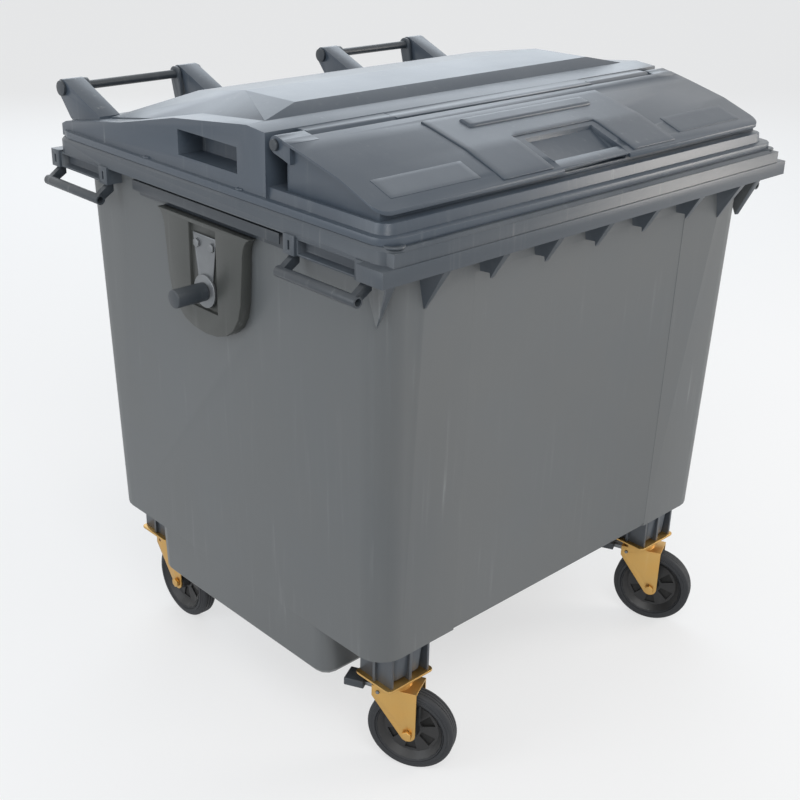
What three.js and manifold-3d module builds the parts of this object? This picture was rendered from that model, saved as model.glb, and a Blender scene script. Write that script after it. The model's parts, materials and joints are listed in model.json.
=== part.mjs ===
// Four-wheeled waste container of about 1100 litres with a flap lid set in its main lid.
// Units are millimetres. +Z is up, the front faces -Y and the width runs along X.
import * as THREE from 'three';
import { mergeVertices } from 'three/addons/utils/BufferGeometryUtils.js';
import { ConvexGeometry } from 'three/addons/geometries/ConvexGeometry.js';
import Module from 'manifold-3d';

const wasm = await Module();
wasm.setup();

// Clearances
const seatGap = 0.3;
const runGap = 0.6;

// Tub
const rimTop = 1258;
const rimHalfWidth = 615;
const rimHalfDepth = 555;
const rimRadius = 40;
const sideBandHeight = 35;
const frontBandHeight = 62;
const frontBandHalfWidth = 637;
const frontBandDepth = 62;
const bandSkin = 5;
const wallThickness = 6;
const wallTopHalfWidth = 582;
const wallTopHalfDepth = 503;
const wallFootHalfWidth = 558;
const wallFootHalfDepth = 490;
const wallRadius = 62;
const wallArcSteps = 6;
const cornerFloor = 334;
const bellyFloor = 207;
const bellyHalfDepth = 316;
const keelFloor = 162;
const keelHalfDepth = 240;
const keelHalfWidth = 500;
const panelHalfWidth = 362;
const panelRecess = 5;
const panelFoot = 372;
const panelTop = 1150;
const gussetCount = 7;
const gussetPitch = 158;
const gussetHalfWidth = 30;
const gussetTip = 1108;

// Carry handles
const handleCentres = [-385, 455];
const handleSpan = 200;
const housingWidth = 32;
const housingDrop = 36;
const housingReach = 22;
const tangWidth = 14;
const tangDepth = 10;
const barRadius = 11;
const barOut = 20;
const barDrop = 102;
const barOverhang = 12;

// Lifting trunnions
const trunnionY = 12;
const trunnionZ = 1030;
const trunnionReach = 680;
const pinRadius = 13;
const sleeveRadius = 20;
const shieldHalfWidth = 132;
const shieldBottom = 937;
const shieldOuter = 606;
const bracketHalfLength = 250;
const bracketHeight = 37;
const bracketTop = 1214;
const trunnionBoltSpread = 25;
const trunnionBoltZ = 1128;

// Rear hinge of the main lid
const hingeY = 588;
const hingeZ = 1352;
const hingeBarRadius = 10;
const hingeEyeRadius = 20;
const hingeOuter = 568;
const hingeInner = 202;
const armWidth = 52;
const lugThickness = 8;
const lugGap = 3;
const barCapRadius = 17;
const barCapThickness = 6;

// Main lid
const lidHalfWidth = 600;
const lidFlangeHalfWidth = 612;
const lidRear = 546;
const lidFront = -543;
const lidSkin = 5;
const lidFlangeHeight = 14;
const ridgeTop = 1400;
const ridgeFront = -196;
const ledgeHeight = 20;
const ledgeFront = -522;
const mouthHalfWidth = 470;
const mouthRear = -246;
const mouthFront = -468;
const gripRear = 88;
const gripFront = -108;
const gripBottom = 1300;
const gripTop = 1352;
const gripDepth = 60;

// Flap
const flapAxisY = -222;
const flapAxisZ = 1377;
const flapPinRadius = 6;
const flapPinHeadRadius = 11;
const flapEyeRadius = 17;
const flapHalfWidth = 598;
const flapSheet = 5;
const flapFront = -508;
const flapRear = -244;
const knuckleInner = 302;
const knuckleOuter = 524;
const scoopHalfWidth = 105;
const scoopRear = -400;
const scoopFront = -476;

// Casters
const casterX = 443;
const casterY = 416;
const casterHeight = 240;
const casterPlateX = 135;
const casterPlateY = 110;
const casterPlateThickness = 5;
const boltSpreadX = 52.5;
const boltSpreadY = 40;
const boltRadius = 7;
const collarRadius = 32;
const collarDepth = 5;
const cupRadius = 42;
const cupHeight = 19;
const crownThickness = 4;
const kingpinRadius = 7;
const kingpinGap = 1;
const forkInner = 30;
const forkSheet = 4;
const forkEyeRadius = 18;
const trail = 45;
const wheelRadius = 100;
const tyreInner = 76;
const tyreWidth = 46;
const hubWidth = 40;
const hubBossRadius = 20;
const axleRadius = 6;
const axleHeadRadius = 12;
const axleHeadThickness = 8;
const spokeCount = 6;
const wheelSides = 20;
const pedalY = 26;
const pedalZ = 195;
const pedalReach = 84;
const pedalHalfWidth = 17;
const drainRadius = 22;

const plastic = { roughness: 0.55, metalness: 0 };
const looks = {
  tub: new THREE.MeshStandardMaterial({ color: 0x666b6e, ...plastic }),
  lid: new THREE.MeshStandardMaterial({ color: 0x4d555e, ...plastic, roughness: 0.4 }),
  handle: new THREE.MeshStandardMaterial({ color: 0x333a40, ...plastic }),
  shield: new THREE.MeshStandardMaterial({ color: 0x484c4b, ...plastic }),
  rubber: new THREE.MeshStandardMaterial({ color: 0x2a2c2f, roughness: 0.85, metalness: 0 }),
  hub: new THREE.MeshStandardMaterial({ color: 0x232427, ...plastic }),
  gold: new THREE.MeshStandardMaterial({ color: 0xb98a3e, roughness: 0.35, metalness: 0.9 }),
  steel: new THREE.MeshStandardMaterial({ color: 0x8d9194, roughness: 0.4, metalness: 0.9 }),
};

// A closed geometry as a solid that can be joined and cut.
function solidOf(geometry) {
  const bare = geometry.clone();
  for (const name of Object.keys(bare.attributes)) {
    if (name !== 'position') bare.deleteAttribute(name);
  }
  const merged = mergeVertices(bare, 1e-4);
  return new wasm.Manifold(new wasm.Mesh({
    numProp: 3,
    vertProperties: Float32Array.from(merged.attributes.position.array),
    triVerts: Uint32Array.from(merged.index.array),
  }));
}

function geometryOf(solid) {
  const mesh = solid.getMesh();
  const geometry = new THREE.BufferGeometry();
  geometry.setAttribute('position', new THREE.BufferAttribute(mesh.vertProperties, mesh.numProp));
  geometry.setIndex(new THREE.BufferAttribute(mesh.triVerts, 1));
  geometry.computeVertexNormals();
  return geometry;
}

function join(solids) {
  return solids.reduce((whole, next) => whole.add(next));
}

function cut(solid, tools) {
  return tools.reduce((whole, tool) => whole.subtract(tool), solid);
}

function box(x0, x1, y0, y1, z0, z1) {
  const geometry = new THREE.BoxGeometry(Math.abs(x1 - x0), Math.abs(y1 - y0), Math.abs(z1 - z0));
  geometry.translate((x0 + x1) / 2, (y0 + y1) / 2, (z0 + z1) / 2);
  return solidOf(geometry);
}

// A cylinder or prism along X from x0 to x1 about the line at y and z.
function rodX(radius, x0, x1, y, z, sides = 20) {
  const geometry = new THREE.CylinderGeometry(radius, radius, Math.abs(x1 - x0), sides);
  geometry.rotateZ(Math.PI / 2);
  geometry.translate((x0 + x1) / 2, y, z);
  return solidOf(geometry);
}

function rodZ(radius, z0, z1, x, y, sides = 20) {
  const geometry = new THREE.CylinderGeometry(radius, radius, Math.abs(z1 - z0), sides);
  geometry.rotateX(Math.PI / 2);
  geometry.translate(x, y, (z0 + z1) / 2);
  return solidOf(geometry);
}

// An outline drawn in the Y and Z directions and carried along X from x0 to x1.
function slabX(shape, x0, x1, steps = 4) {
  const depth = Math.abs(x1 - x0);
  const geometry = new THREE.ExtrudeGeometry(shape, { depth, bevelEnabled: false, curveSegments: steps });
  const basis = new THREE.Matrix4().makeBasis(
    new THREE.Vector3(0, 1, 0),
    new THREE.Vector3(0, 0, 1),
    new THREE.Vector3(1, 0, 0),
  );
  geometry.applyMatrix4(basis);
  geometry.translate(Math.min(x0, x1), 0, 0);
  return solidOf(geometry);
}

function outline(points) {
  return new THREE.Shape(points.map(([y, z]) => new THREE.Vector2(y, z)));
}

function hull(points) {
  return solidOf(new ConvexGeometry(points.map(([x, y, z]) => new THREE.Vector3(x, y, z))));
}

function roundedRing(halfX, halfY, radius, arcSteps) {
  const corners = [[1, 1, 0], [-1, 1, 1], [-1, -1, 2], [1, -1, 3]];
  const ring = [];
  for (const [signX, signY, quarter] of corners) {
    for (let step = 0; step <= arcSteps; step += 1) {
      const angle = (quarter + step / arcSteps) * Math.PI / 2;
      const x = signX * (halfX - radius) + radius * Math.cos(angle);
      const y = signY * (halfY - radius) + radius * Math.sin(angle);
      ring.push([x, y]);
    }
  }
  return ring;
}

// A solid through rounded rectangles, each level given as [z, halfX, halfY, radius].
function loft(levels, centreY = 0, arcSteps = 3) {
  const rings = levels.map(([, halfX, halfY, radius]) => roundedRing(halfX, halfY, radius, arcSteps));
  const count = rings[0].length;
  const positions = [];
  const triangles = [];
  rings.forEach((ring, level) => {
    for (const [x, y] of ring) positions.push(x, y + centreY, levels[level][0]);
  });
  for (let level = 0; level + 1 < rings.length; level += 1) {
    for (let i = 0; i < count; i += 1) {
      const a = level * count + i;
      const b = level * count + (i + 1) % count;
      triangles.push(a, b, b + count, a, b + count, a + count);
    }
  }
  const last = (rings.length - 1) * count;
  for (let i = 1; i + 1 < count; i += 1) {
    triangles.push(0, i + 1, i);
    triangles.push(last, last + i, last + i + 1);
  }
  const geometry = new THREE.BufferGeometry();
  geometry.setAttribute('position', new THREE.Float32BufferAttribute(positions, 3));
  geometry.setIndex(triangles);
  return solidOf(geometry);
}

// Half width and half depth of the tub's outer wall at a height.
function wallAt(z) {
  const share = (z - cornerFloor) / (rimTop - sideBandHeight - cornerFloor);
  const halfWidth = wallFootHalfWidth + share * (wallTopHalfWidth - wallFootHalfWidth);
  const halfDepth = wallFootHalfDepth + share * (wallTopHalfDepth - wallFootHalfDepth);
  return { halfWidth, halfDepth };
}

function wallLevel(z, inset) {
  const { halfWidth, halfDepth } = wallAt(z);
  return [z, halfWidth - inset, halfDepth - inset, wallRadius - inset];
}

function add(group, name, solid, material) {
  const mesh = new THREE.Mesh(geometryOf(solid), material.clone());
  mesh.name = name;
  group.add(mesh);
  return mesh;
}

function frontBand() {
  const foot = rimTop - frontBandHeight;
  const step = rimTop - sideBandHeight;
  const back = -rimHalfDepth + frontBandDepth;
  const upper = box(-rimHalfWidth + 8, rimHalfWidth - 8, -rimHalfDepth - 2, back, step, rimTop - 6);
  const lower = box(-frontBandHalfWidth, frontBandHalfWidth, -rimHalfDepth - 6, back, foot, step + 4);
  const hollow = box(
    -frontBandHalfWidth + bandSkin,
    frontBandHalfWidth - bandSkin,
    -rimHalfDepth - 6 + bandSkin,
    -wallTopHalfDepth - 1,
    foot - 1,
    step - 1,
  );
  return cut(join([upper, lower]), [hollow]);
}

function gussets() {
  const foot = rimTop - sideBandHeight;
  const { halfDepth } = wallAt(gussetTip);
  const solids = [];
  for (let i = 0; i < gussetCount; i += 1) {
    const x = (i - (gussetCount - 1) / 2) * gussetPitch;
    solids.push(hull([
      [x - gussetHalfWidth, -halfDepth + 2, foot],
      [x + gussetHalfWidth, -halfDepth + 2, foot],
      [x - 9, -rimHalfDepth - 3, foot],
      [x + 9, -rimHalfDepth - 3, foot],
      [x - 9, -rimHalfDepth - 3, rimTop - frontBandHeight],
      [x + 9, -rimHalfDepth - 3, rimTop - frontBandHeight],
      [x - 3, -halfDepth - 1, gussetTip],
      [x + 3, -halfDepth - 1, gussetTip],
      [x, -halfDepth + 3, gussetTip],
    ]));
  }
  return join(solids);
}

// Two uprights under the side rim that a carry handle plugs into.
function handleHousing(side, centreY) {
  const foot = rimTop - sideBandHeight - housingDrop;
  const inner = wallAt(foot).halfWidth - 1;
  const outer = rimHalfWidth + housingReach - 18;
  const solids = [];
  for (const end of [-1, 1]) {
    const y = centreY + end * handleSpan / 2;
    solids.push(box(
      side * inner,
      side * outer,
      y - housingWidth / 2,
      y + housingWidth / 2,
      foot,
      rimTop - sideBandHeight + 3,
    ));
  }
  return join(solids);
}

function handlePocket(side, centreY) {
  const foot = rimTop - sideBandHeight - housingDrop;
  const middle = rimHalfWidth - 12;
  return join([-1, 1].map((end) => {
    const y = centreY + end * handleSpan / 2;
    const halfWidth = tangWidth / 2 + seatGap;
    const halfDepth = tangDepth / 2 + seatGap;
    const slot = box(
      side * (middle - halfDepth),
      side * (middle + halfDepth),
      y - halfWidth,
      y + halfWidth,
      foot - 1,
      foot + 26 + seatGap,
    );
    const keyhole = box(side * (middle + 5), side * (middle + 40), y - 3, y + 3, foot + 10, foot + 28);
    return slot.add(keyhole);
  }));
}

// Fin under the rim at a front corner.
function cornerFin(side) {
  const foot = rimTop - sideBandHeight;
  const { halfWidth } = wallAt(gussetTip);
  return hull([
    [side * (halfWidth - 6), -rimHalfDepth + 8, foot],
    [side * (rimHalfWidth - 14), -rimHalfDepth + 8, foot],
    [side * (rimHalfWidth - 14), -rimHalfDepth + 16, foot],
    [side * (halfWidth - 6), -440, foot],
    [side * (halfWidth - 6), -440, 1180],
    [side * (halfWidth - 4), -rimHalfDepth + 70, 1092],
    [side * (halfWidth + 4), -rimHalfDepth + 66, 1092],
  ]);
}

function rearLugOutline() {
  const shape = new THREE.Shape();
  shape.moveTo(rimHalfDepth - 16, rimTop - sideBandHeight + 4);
  shape.lineTo(rimHalfDepth + 12, rimTop - sideBandHeight + 4);
  shape.lineTo(rimHalfDepth + 26, rimTop);
  shape.absarc(hingeY, hingeZ, hingeEyeRadius - 2, 0, Math.PI, false);
  shape.lineTo(rimHalfDepth + 3, rimTop + 12);
  shape.lineTo(rimHalfDepth - 2, rimTop - 3);
  shape.lineTo(rimHalfDepth - 16, rimTop - 3);
  shape.closePath();
  return shape;
}

function lugPlaces() {
  const outer = hingeOuter - armWidth - lugGap - lugThickness;
  const inner = hingeInner + armWidth + lugGap;
  return [outer, inner];
}

function casterTower(x, y) {
  const foot = casterHeight + seatGap;
  const top = cornerFloor + 3;
  const ribs = [
    box(x - 62, x + 62, y - 4, y + 4, foot, top),
    box(x - 4, x + 4, y - 50, y + 50, foot, top),
    box(x - boltSpreadX - 3, x - boltSpreadX + 3, y - 50, y + 50, foot, top),
    box(x + boltSpreadX - 3, x + boltSpreadX + 3, y - 50, y + 50, foot, top),
    rodZ(34, foot, top, x, y, 12),
  ];
  return join(ribs);
}

function tub() {
  const bandFoot = rimTop - sideBandHeight;
  const body = loft([wallLevel(cornerFloor, 0), wallLevel(rimTop - 8, 0)], 0, wallArcSteps);
  const rim = loft([
    [bandFoot, rimHalfWidth, rimHalfDepth, rimRadius],
    [rimTop - 6, rimHalfWidth, rimHalfDepth, rimRadius],
    [rimTop, rimHalfWidth - 5, rimHalfDepth - 5, rimRadius - 5],
  ]);
  const rimHollow = loft([
    [bandFoot - 1, rimHalfWidth - bandSkin, rimHalfDepth - bandSkin, rimRadius - bandSkin],
    [rimTop - bandSkin - 3, rimHalfWidth - bandSkin, rimHalfDepth - bandSkin, rimRadius - bandSkin],
  ]);
  const bellySide = wallFootHalfWidth - 1;
  const belly = loft([
    [bellyFloor, bellySide - 14, bellyHalfDepth - 14, 30],
    [bellyFloor + 14, bellySide - 3, bellyHalfDepth - 4, 36],
    [cornerFloor + 4, bellySide, bellyHalfDepth, 36],
  ]);
  const keel = loft([
    [keelFloor, keelHalfWidth - 22, keelHalfDepth - 22, 30],
    [keelFloor + 22, keelHalfWidth, keelHalfDepth, 36],
    [bellyFloor + 4, keelHalfWidth + 4, keelHalfDepth + 4, 36],
  ]);
  const cavity = loft([
    wallLevel(cornerFloor + wallThickness, wallThickness),
    wallLevel(rimTop + 1, wallThickness),
  ], 0, wallArcSteps);
  const bellyCavity = loft([
    [bellyFloor + wallThickness, bellySide - 14 - wallThickness, bellyHalfDepth - 14 - wallThickness, 24],
    [bellyFloor + 20, bellySide - wallThickness - 3, bellyHalfDepth - wallThickness - 4, 30],
    [cornerFloor + wallThickness + 1, bellySide - wallThickness, bellyHalfDepth - wallThickness, 30],
  ]);
  const keelCavity = loft([
    [keelFloor + wallThickness, keelHalfWidth - 28, keelHalfDepth - 28, 24],
    [keelFloor + 22 + wallThickness, keelHalfWidth - wallThickness, keelHalfDepth - wallThickness, 30],
    [bellyFloor + wallThickness + 1, keelHalfWidth - 2, keelHalfDepth - 2, 30],
  ]);
  const face = wallAt(panelFoot).halfDepth;
  const faceTop = wallAt(panelTop).halfDepth;
  const panel = hull([
    [-panelHalfWidth, -face - 20, panelFoot - 60],
    [panelHalfWidth, -face - 20, panelFoot - 60],
    [-panelHalfWidth, -faceTop - 20, panelTop],
    [panelHalfWidth, -faceTop - 20, panelTop],
    [-panelHalfWidth + 26, -face + panelRecess, panelFoot - 60],
    [panelHalfWidth - 26, -face + panelRecess, panelFoot - 60],
    [-panelHalfWidth + 26, -faceTop + panelRecess, panelTop],
    [panelHalfWidth - 26, -faceTop + panelRecess, panelTop],
  ]);
  const panelBack = hull([
    [-panelHalfWidth + 4, -face + 1, panelFoot - 30],
    [panelHalfWidth - 4, -face + 1, panelFoot - 30],
    [-panelHalfWidth + 4, -faceTop + 1, panelTop + 10],
    [panelHalfWidth - 4, -faceTop + 1, panelTop + 10],
    [-panelHalfWidth + 20, -face + panelRecess + wallThickness, panelFoot - 30],
    [panelHalfWidth - 20, -face + panelRecess + wallThickness, panelFoot - 30],
    [-panelHalfWidth + 20, -faceTop + panelRecess + wallThickness, panelTop + 10],
    [panelHalfWidth - 20, -faceTop + panelRecess + wallThickness, panelTop + 10],
  ]);
  const towers = [];
  const housings = [];
  const pockets = [];
  const fins = [];
  const lugs = [];
  for (const side of [-1, 1]) {
    fins.push(cornerFin(side));
    for (const end of [-1, 1]) towers.push(casterTower(side * casterX, end * casterY));
    for (const centreY of handleCentres) {
      housings.push(handleHousing(side, centreY));
      pockets.push(handlePocket(side, centreY));
    }
    for (const start of lugPlaces()) {
      lugs.push(slabX(rearLugOutline(), side * start, side * (start + lugThickness), 6));
    }
  }
  const bar = hingeBarRadius + seatGap;
  const barBores = [-1, 1].map((side) => rodX(bar, side * hingeInner, side * hingeOuter, hingeY, hingeZ));
  const outside = join([cut(rim, [rimHollow]), body, frontBand(), gussets(), belly, keel, ...fins]);
  const shell = cut(outside, [panel]).add(panelBack);
  const hollowed = cut(shell, [cavity, bellyCavity, keelCavity]);
  const backing = panelBack.subtract(panel);
  const drain = rodZ(drainRadius + seatGap, keelFloor - 1, keelFloor + wallThickness + 1, 0, 0);
  return cut(join([hollowed, backing, ...towers, ...housings, ...lugs]), [...pockets, ...barBores, drain]);
}

function rodY(radius, y0, y1, x, z, sides) {
  const geometry = new THREE.CylinderGeometry(radius, radius, Math.abs(y1 - y0), sides);
  geometry.translate(x, (y0 + y1) / 2, z);
  return solidOf(geometry);
}

// A U-shaped carry handle: a hollow grip bar on two arms that plug into the housing.
function handle(side, centreY) {
  const foot = rimTop - sideBandHeight - housingDrop;
  const tangX = side * (rimHalfWidth - 12);
  const barX = side * (rimHalfWidth + barOut);
  const barZ = rimTop - barDrop;
  const half = handleSpan / 2;
  const near = side * tangDepth / 2;
  const start = centreY - half - barOverhang;
  const finish = centreY + half + barOverhang;
  const solids = [rodY(barRadius, start, finish, barX, barZ, 14)];
  for (const end of [-1, 1]) {
    const y = centreY + end * half;
    const y0 = y - tangWidth / 2;
    const y1 = y + tangWidth / 2;
    solids.push(box(tangX - near, tangX + near, y0, y1, foot - 14, foot + 26));
    const corners = [
      [tangX - near, foot - seatGap],
      [tangX + near, foot - seatGap],
      [tangX - near, foot - 18],
      [barX - side * 9, barZ - 4],
      [barX + side * 3, barZ + 9],
    ];
    solids.push(hull(corners.flatMap(([x, z]) => [[x, y0, z], [x, y1, z]])));
  }
  return cut(join(solids), [rodY(barRadius - 3.5, start - 1, finish + 1, barX, barZ, 10)]);
}

function trunnionShieldOutline() {
  const shape = new THREE.Shape();
  const top = bracketTop - bracketHeight - seatGap;
  const flare = 26;
  const left = trunnionY - shieldHalfWidth;
  const right = trunnionY + shieldHalfWidth;
  const low = shieldBottom + 96;
  shape.moveTo(left - flare, top);
  shape.quadraticCurveTo(left, top - 8, left, top - 60);
  shape.lineTo(left + 8, low);
  shape.quadraticCurveTo(left + 22, shieldBottom, trunnionY, shieldBottom);
  shape.quadraticCurveTo(right - 22, shieldBottom, right - 8, low);
  shape.lineTo(right, top - 60);
  shape.quadraticCurveTo(right, top - 8, right + flare, top);
  shape.closePath();
  return shape;
}

function trunnionFace(z) {
  return wallAt(z).halfWidth + seatGap;
}

function trunnionShield(side) {
  const outer = shieldOuter - 1;
  const slab = slabX(trunnionShieldOutline(), side * 560, side * outer, 5);
  const wall = hull([-1, 1].flatMap((end) => [shieldBottom - 20, bracketTop].flatMap((z) => [
    [side * 500, trunnionY + end * 300, z],
    [side * trunnionFace(z), trunnionY + end * 300, z],
  ])));
  const recess = box(
    side * (outer - 9),
    side * (outer + 5),
    trunnionY - 46,
    trunnionY + 46,
    trunnionZ - 40,
    trunnionBoltZ + 40,
  );
  const bores = [-1, 1].map((end) => rodX(
    5.5 + seatGap,
    side * 540,
    side * 640,
    trunnionY + end * trunnionBoltSpread,
    trunnionBoltZ,
    12,
  ));
  const pinBore = rodX(pinRadius + seatGap, side * 540, side * 640, trunnionY, trunnionZ, 20);
  return cut(slab, [wall, recess, pinBore, ...bores]);
}

function trunnionBracket(side) {
  const foot = bracketTop - bracketHeight;
  const face = trunnionFace(bracketTop);
  const start = trunnionY - bracketHalfLength;
  const finish = trunnionY + bracketHalfLength;
  const plate = box(side * face, side * (face + 5), start, finish, foot, bracketTop);
  const shelf = box(side * face, side * (shieldOuter - 2), start, finish, bracketTop - 6, bracketTop);
  const edge = shieldOuter - 2;
  const lip = box(side * (edge - 4), side * edge, start, finish, bracketTop - 22, bracketTop);
  return join([plate, shelf, lip]);
}

function trunnionPin(side) {
  const floor = shieldOuter - 10;
  const flange = rodX(36, side * (floor + seatGap), side * (floor + 8), trunnionY, trunnionZ, 24);
  const root = side * (trunnionFace(trunnionZ) + 1);
  const shaft = rodX(pinRadius, root, side * (trunnionReach - 3), trunnionY, trunnionZ, 20);
  return flange.add(shaft);
}

function trunnionSleeve(side) {
  const start = shieldOuter - 2 + runGap;
  const body = rodX(sleeveRadius, side * start, side * trunnionReach, trunnionY, trunnionZ, 24);
  const boreEnd = trunnionReach - 3 + runGap;
  const bore = rodX(pinRadius + runGap, side * (start - 1), side * boreEnd, trunnionY, trunnionZ, 20);
  return body.subtract(bore);
}

function trunnionBolt(side, end) {
  const y = trunnionY + end * trunnionBoltSpread;
  const seat = shieldOuter - 10 + seatGap;
  const head = rodX(10, side * seat, side * (seat + 7), y, trunnionBoltZ, 6);
  const root = side * (trunnionFace(trunnionBoltZ) + 1);
  return head.add(rodX(5.5, root, side * (seat + 2), y, trunnionBoltZ, 10));
}

// The bar runs through both lid arms and both tub lugs and is capped at its ends.
function hingeBar(side) {
  const capGap = 0.5;
  const outer = hingeOuter + capGap;
  const inner = hingeInner - capGap;
  return join([
    rodX(hingeBarRadius, side * (inner - 1), side * (outer + 1), hingeY, hingeZ, 20),
    rodX(barCapRadius, side * outer, side * (outer + barCapThickness), hingeY, hingeZ, 20),
    rodX(barCapRadius, side * inner, side * (inner - barCapThickness), hingeY, hingeZ, 20),
  ]);
}

function lidProfile(inset) {
  return outline([
    [lidRear - inset, rimTop + seatGap - (inset ? 2 : 0)],
    [lidRear - inset, 1284 - inset],
    [lidRear - 18 - inset, 1292 - inset],
    [300, 1328 - inset],
    [100, 1372 - inset],
    [-140, ridgeTop - inset],
    [ridgeFront + inset, ridgeTop - 5 - inset],
    [ridgeFront + inset, rimTop + seatGap - (inset ? 2 : 0)],
  ]);
}

function dome(inset) {
  const foot = 1300;
  return hull([
    [-548 + inset, 420 - inset, foot], [548 - inset, 420 - inset, foot],
    [-548 + inset, -150 + inset, foot], [548 - inset, -150 + inset, foot],
    [-548 + inset, 420 - inset, 1312 - inset], [548 - inset, 420 - inset, 1312 - inset],
    [-548 + inset, -130 + inset, ridgeTop - 1 - inset], [548 - inset, -130 + inset, ridgeTop - 1 - inset],
    [-430 + inset, 250 - inset, 1384 - inset], [430 - inset, 250 - inset, 1384 - inset],
    [-450 + inset, -100 + inset, 1418 - inset], [450 - inset, -100 + inset, 1418 - inset],
    [-450 + inset, 60, 1416 - inset], [450 - inset, 60, 1416 - inset],
  ]);
}

function armOutline() {
  const shape = new THREE.Shape();
  shape.moveTo(436, 1296);
  shape.lineTo(lidRear - 6, 1278);
  shape.lineTo(lidRear + 16, 1290);
  shape.lineTo(hingeY + hingeEyeRadius, hingeZ - 10);
  shape.absarc(hingeY, hingeZ, hingeEyeRadius, -0.4, Math.PI * 0.62, false);
  shape.lineTo(436, 1312);
  shape.closePath();
  return shape;
}

function knuckleWeb() {
  return outline([
    [ridgeFront + 3, 1360],
    [ridgeFront + 3, ridgeTop - 6],
    [flapAxisY, flapAxisZ + flapEyeRadius - 1],
    [flapAxisY - 10, flapAxisZ],
    [flapAxisY, flapAxisZ - flapEyeRadius + 1],
  ]);
}

function mainLid() {
  const base = rimTop + seatGap;
  const wedge = slabX(lidProfile(0), -lidHalfWidth, lidHalfWidth);
  const inside = slabX(lidProfile(lidSkin), -lidHalfWidth + lidSkin, lidHalfWidth - lidSkin);
  const middle = (lidRear + lidFront) / 2;
  const half = (lidRear - lidFront) / 2;
  const flange = loft([
    [base, lidFlangeHalfWidth, half, rimRadius],
    [base + lidFlangeHeight, lidFlangeHalfWidth, half, rimRadius],
  ], middle);
  const ledgeRear = ridgeFront + 20;
  const ledge = loft([
    [base + lidFlangeHeight - 1, lidHalfWidth - 3, (ledgeRear - ledgeFront) / 2, 30],
    [base + lidFlangeHeight + ledgeHeight, lidHalfWidth - 6, (ledgeRear - ledgeFront) / 2 - 2, 28],
  ], (ledgeRear + ledgeFront) / 2);
  const mouth = loft([
    [base - 1, mouthHalfWidth, (mouthRear - mouthFront) / 2, 24],
    [base + 60, mouthHalfWidth, (mouthRear - mouthFront) / 2, 24],
  ], (mouthRear + mouthFront) / 2);
  const ledgeHalf = (ledgeRear - ledgeFront) / 2;
  const channelTop = base + lidFlangeHeight + ledgeHeight - lidSkin;
  const channel = loft([
    [base - 1, lidHalfWidth - 12, ledgeHalf - 10, 24],
    [channelTop, lidHalfWidth - 14, ledgeHalf - 12, 24],
  ], (ledgeRear + ledgeFront) / 2);
  const solids = [flange, wedge, dome(0), ledge];
  const bores = [];
  const grips = [];
  for (const side of [-1, 1]) {
    for (const start of [hingeOuter - armWidth, hingeInner]) {
      solids.push(slabX(armOutline(), side * start, side * (start + armWidth), 6));
    }
    bores.push(rodX(hingeBarRadius + runGap, side * 190, side * 600, hingeY, hingeZ, 20));
    const pinRoot = side * (knuckleInner + 60);
    bores.push(rodX(flapPinRadius + seatGap, pinRoot, side * 700, flapAxisY, flapAxisZ, 12));
    const pocket = box(
      side * (lidHalfWidth - gripDepth),
      side * (lidHalfWidth + 9),
      gripFront,
      gripRear,
      gripBottom,
      gripTop,
    );
    grips.push(pocket);
  }
  const pocketWalls = [-1, 1].map((side) => box(
    side * (lidHalfWidth - gripDepth - 4),
    side * (lidHalfWidth - 2),
    gripFront - 4,
    gripRear + 4,
    gripBottom - 4,
    gripTop + 4,
  ));
  const shell = cut(join(solids), [inside, dome(lidSkin), mouth, channel]);
  const rim = join([-1, 1].flatMap((side) => [
    rodX(flapEyeRadius, side * knuckleInner, side * knuckleOuter, flapAxisY, flapAxisZ, 18),
    slabX(knuckleWeb(), side * knuckleInner, side * knuckleOuter),
  ]));
  const cover = slabX(outline([
    [ridgeFront + 3, ridgeTop - 12],
    [ridgeFront + 3, ridgeTop - 5],
    [flapRear + 6, flapAxisZ + 15],
    [flapRear + 6, flapAxisZ + 9],
  ]), -knuckleInner - 1, knuckleInner + 1);
  return cut(join([shell, ...pocketWalls, rim, cover]), [...bores, ...grips]);
}

function flapSheetOutline() {
  return outline([
    [flapRear, flapAxisZ + 13],
    [-300, 1377],
    [-400, 1352],
    [-476, 1324],
    [flapFront, 1311],
    [flapFront, 1303],
    [-478, 1324 - flapSheet],
    [-401, 1352 - flapSheet],
    [-301, 1377 - flapSheet],
    [flapRear, flapAxisZ + 13 - flapSheet],
  ]);
}

function flapSkirtOutline() {
  const foot = rimTop + 2 * seatGap + lidFlangeHeight + ledgeHeight;
  return outline([
    [flapRear, foot],
    [flapRear, flapAxisZ + 11],
    [-300, 1375],
    [-400, 1350],
    [-476, 1322],
    [flapFront + 12, 1313],
    [flapFront + 12, foot],
  ]);
}

function flapEyeOutline() {
  const shape = new THREE.Shape();
  shape.moveTo(flapRear - 20, flapAxisZ - 30);
  shape.lineTo(flapRear - 2, flapAxisZ - 24);
  shape.absarc(flapAxisY, flapAxisZ, flapEyeRadius, -Math.PI * 0.45, Math.PI * 0.62, false);
  shape.lineTo(flapRear - 20, flapAxisZ + 9);
  shape.closePath();
  return shape;
}

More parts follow.
